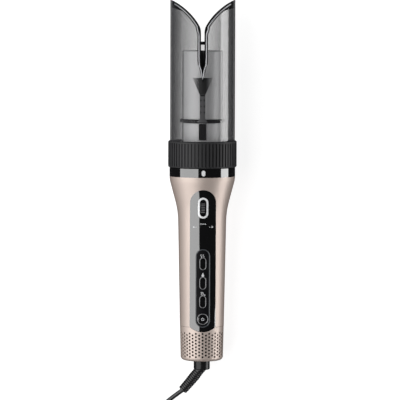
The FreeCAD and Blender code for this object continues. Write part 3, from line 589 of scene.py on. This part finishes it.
def marks():
    """Small generic signs: dashes and arrows by the switch, and waves, a drop, a curl and a power sign."""
    bars = []
    for x in (-2.0, 0.0, 2.0):
        bars += stroke([(x - 0.65, 126.7), (x + 0.65, 126.7)], 0.75)
    printed("switch_sign_middle", "control_panel", "handle", bars, look=MARK)
    for name, way in (("left", -1), ("right", 1)):
        x = 7.6 * way
        arrow = stroke([(x - 1.7 * way, 123.9), (x + 0.4 * way, 123.9)], 0.5)
        arrow.append(((x + 0.3 * way, 124.9), (x + 0.3 * way, 122.9), (x + 1.9 * way, 123.9)))
        printed("switch_sign_" + name, "control_panel", "handle", arrow, look=MARK)
    waves = []
    for x in (-1.5, 0.6):
        line = [(x + 0.55 * math.sin(index / 10 * 2 * math.pi), 96.0 + 0.30 * index) for index in range(11)]
        waves += stroke(line, 0.5)
    printed("sign_waves", "button_pad", "handle", waves, look=MARK)
    drop = arc(0, 79.4, 1.2, 150, 390, 18) + [(0.35, 81.6), (0, 82.3), (-0.35, 81.6)]
    middle = (0, 79.8)
    faces = [(start, end, middle) for start, end in zip(drop, drop[1:] + drop[:1])]
    printed("sign_drop", "button_pad", "handle", faces, look=MARK)
    turns = [(-0.6 + (0.35 + index * 0.055) * math.cos(index * 0.35),
              62.6 + (0.35 + index * 0.055) * math.sin(index * 0.35)) for index in range(26)]
    dot = arc(1.75, 61.6, 0.65, 0, 360, 14)
    faces = stroke(turns, 0.42) + [(start, end, (1.75, 61.6)) for start, end in zip(dot, dot[1:])]
    printed("sign_curl", "button_pad", "handle", faces, look=MARK)
    ring = stroke(arc(0, POWER_Z, 1.25, -235, 55, 24), 0.45)
    ring += stroke([(0, POWER_Z + 0.1), (0, POWER_Z + 1.7)], 0.45)
    printed("power_sign", "power_button", "power_button", ring, look=MARK)


def lock_pointer():
    """The moulded pointer above the panel that shows where the lock ring comes to rest."""
    tree = tree_of("handle_shell")
    line = [on_front(tree, x, 160.3 + 0.02 * x * x, -0.05) for x in (-3.0, -2, -1, 0, 1, 2, 3.0)]
    bead("lock_pointer_line", line, 0.00030, "handle", "champagne")
    tip = [on_front(tree, x, 164.4 - 1.1 * abs(x), -0.05) for x in (-1.5, -0.75, 0, 0.75, 1.5)]
    bead("lock_pointer_tip", tip, 0.00028, "handle", "champagne")


def bend(start, end, radius, count=14):
    """Points after start on an arc to end. Its centre is left of the way for a positive radius."""
    chord = Vector(end) - Vector(start)
    reach = math.sqrt(radius ** 2 - (chord.length / 2) ** 2)
    left = Vector((-chord.y, chord.x)).normalized()
    centre = (Vector(start) + Vector(end)) / 2 + left * math.copysign(reach, radius)
    first, last = Vector(start) - centre, Vector(end) - centre
    sweep = math.atan2(first.x * last.y - first.y * last.x, first.dot(last))
    places = []
    for index in range(1, count + 1):
        turn = Matrix.Rotation(sweep * index / count, 2)
        places.append(tuple(centre + turn @ first))
    return places


SLOT_HALF, SLOT_POINT, SLOT_STRAIGHT, SLOT_TOP = 1.6, 258.5, 277.0, 299.8
THROAT, THROAT_RADIUS = (3.5, 307.2), 15
HORN, HORN_RADIUS = (31.0, 331.5), 60
# Where the painted shade under the horns begins across the tool, and how far down it reaches per millimetre
# further out.
CORNER_FROM, CORNER_SLOPE = 15.6, 0.36
# The parting line's radius and place are in metres, and its start and sweep in degrees from the panel.
SEAM_RADIUS, SEAM_PLACE = 0.02003, 0.03175
SEAM_FROM, SEAM_SWEEP = 38.5, 283


def mouth_line(inset, reach=26.2):
    """One side of the mouth from its point at the bottom of the slot up to the horn, inset from the edge."""
    half = SLOT_HALF + inset
    throat = (THROAT[0] + 0.87 * inset, THROAT[1] - 0.5 * inset)
    horn = (HORN[0] + 0.4 * inset, HORN[1] - 0.917 * inset)
    up = [(0.0, SLOT_POINT), (0.75, 262.5), (1.45, 267.0), (half - 0.35, 271.5)]
    rise = (SLOT_TOP - SLOT_STRAIGHT) / 5
    up += [(half, SLOT_STRAIGHT + rise * index) for index in range(6)]
    up += bend((half, SLOT_TOP), throat, THROAT_RADIUS - inset, 6)
    up += bend(throat, horn, -(HORN_RADIUS - inset), 26)
    return [place for place in up if place[0] < reach]


def mouth_beads():
    """The bead along the mouth's edge, painted light grey as a painted highlight, and a line of painted
    shade beside it.
    """
    tree = tree_of("mouth_rim_front")
    side = mouth_line(1.75)
    line = [(-x, z) for x, z in side[:0:-1]] + side
    places = [on_front(tree, x, z, 0.1, LAID) for x, z in line]
    bead("mouth_bead", places, 0.00050, "guard", "black_gloss", look=RIM_HIGHLIGHT)
    # painted shade: a dull black line just inside the bead on each side
    for name, way in (("left", -1), ("right", 1)):
        line = [(x * way, z) for x, z in mouth_line(2.75) if z > 268]
        printed("mouth_shade_" + name, "smoked_guard", "guard", stroke(line, 0.8), "black_satin", 0.64,
                DEEP, LAID)


def arrow_details():
    """A dash and three pairs of dots on the arrow guide's stem."""
    dots = []
    for z in (239.6, 234.1, 228.6):
        for x in (-1.75, 1.75):
            ring = arc(x, z, 0.75, 0, 360, 12)
            dots += [(start, end, (x, z)) for start, end in zip(ring, ring[1:])]
    dots += stroke([(-2.1, 243.9), (0, 243.9), (2.1, 243.9)], 1.1)
    printed("arrow_dots", "arrow_guide", "guard", dots, "black_satin", 0.10, DEEP, LAID)


def horn_shades():
    """Painted shade: black corners under the two horns, from CORNER_FROM out to the guard's side."""
    edge = [(x, z) for x, z in mouth_line(2.3, 28.9) if x > CORNER_FROM]
    for name, way in (("left", -1), ("right", 1)):
        faces = []
        for (x, z), (after, level) in zip(edge, edge[1:]):
            deep, deeper = CORNER_SLOPE * (x - CORNER_FROM), CORNER_SLOPE * (after - CORNER_FROM)
            faces.append(((x * way, z), (after * way, level),
                          (after * way, level - deeper), (x * way, z - deep)))
        printed("horn_shade_" + name, "smoked_guard", "guard", faces, "black_satin", 0.03, DEEP, LAID)


def seam_line():
    """The dark parting line between the grip and its end cap, open where the panel crosses it."""
    places = []
    for index in range(61):
        angle = math.radians(SEAM_FROM + SEAM_SWEEP * index / 60)
        across, back = SEAM_RADIUS * math.sin(angle), -SEAM_RADIUS * math.cos(angle)
        places.append(CONTROLS @ Vector((across, back, SEAM_PLACE)))
    bead("cap_seam", places, 0.00016, "handle", "black_satin", look=SEAM)


slider_ribs()
pad_rims()
marks()
lock_pointer()
mouth_beads()
arrow_details()
horn_shades()
seam_line()


# ---------------------------------------------------------------- studio
def make_floor():
    """A wide pale floor that glows a little, so that it stays near white."""
    shape = bmesh.new()
    bmesh.ops.create_grid(shape, x_segments=8, y_segments=8, size=3.0)
    mesh = bpy.data.meshes.new("floor")
    shape.to_mesh(mesh)
    shape.free()
    floor = bpy.data.objects.new("floor", mesh)
    bpy.context.scene.collection.objects.link(floor)
    paint = bpy.data.materials.new("floor")
    paint.use_nodes = True
    shader = paint.node_tree.nodes["Principled BSDF"]
    shader.inputs["Base Color"].default_value = (0.35, 0.35, 0.35, 1)
    shader.inputs["Roughness"].default_value = 0.9
    shader.inputs["Emission Color"].default_value = (1, 1, 1, 1)
    shader.inputs["Emission Strength"].default_value = 0.85
    mesh.materials.append(paint)
    floor.location.z = -0.0003
    floor.visible_glossy = False


def softbox(name, angle, distance, across, along, brightness):
    """A flat light facing the tool, its angle in degrees from overhead and positive to the right."""
    data = bpy.data.lights.new(name, "AREA")
    data.shape = "RECTANGLE"
    data.size, data.size_y = across, along
    data.energy = brightness * math.pi * across * along
    light = bpy.data.objects.new(name, data)
    turn = math.radians(angle)
    light.location = (distance * math.sin(turn), -0.1, 0.03 + distance * math.cos(turn))
    light.rotation_euler = (0, turn, 0)
    light.visible_camera = False
    bpy.context.scene.collection.objects.link(light)


def make_studio():
    """The floor, a broad light on the left, a narrow one on the right and a faint surround."""
    make_floor()
    softbox("softbox_left", angle=-49, distance=1.5, across=2.10, along=2.6, brightness=2.6)
    softbox("strip_right", angle=86, distance=1.4, across=0.85, along=2.4, brightness=4.2)
    world = bpy.data.worlds.new("studio")
    world.use_nodes = True
    back = world.node_tree.nodes["Background"]
    back.inputs["Color"].default_value = (0.9, 0.92, 1.0, 1)
    back.inputs["Strength"].default_value = 0.022
    bpy.context.scene.world = world
    bpy.context.scene.view_settings.view_transform = "Standard"


make_studio()

print("lead length", round(lead_long, 3))
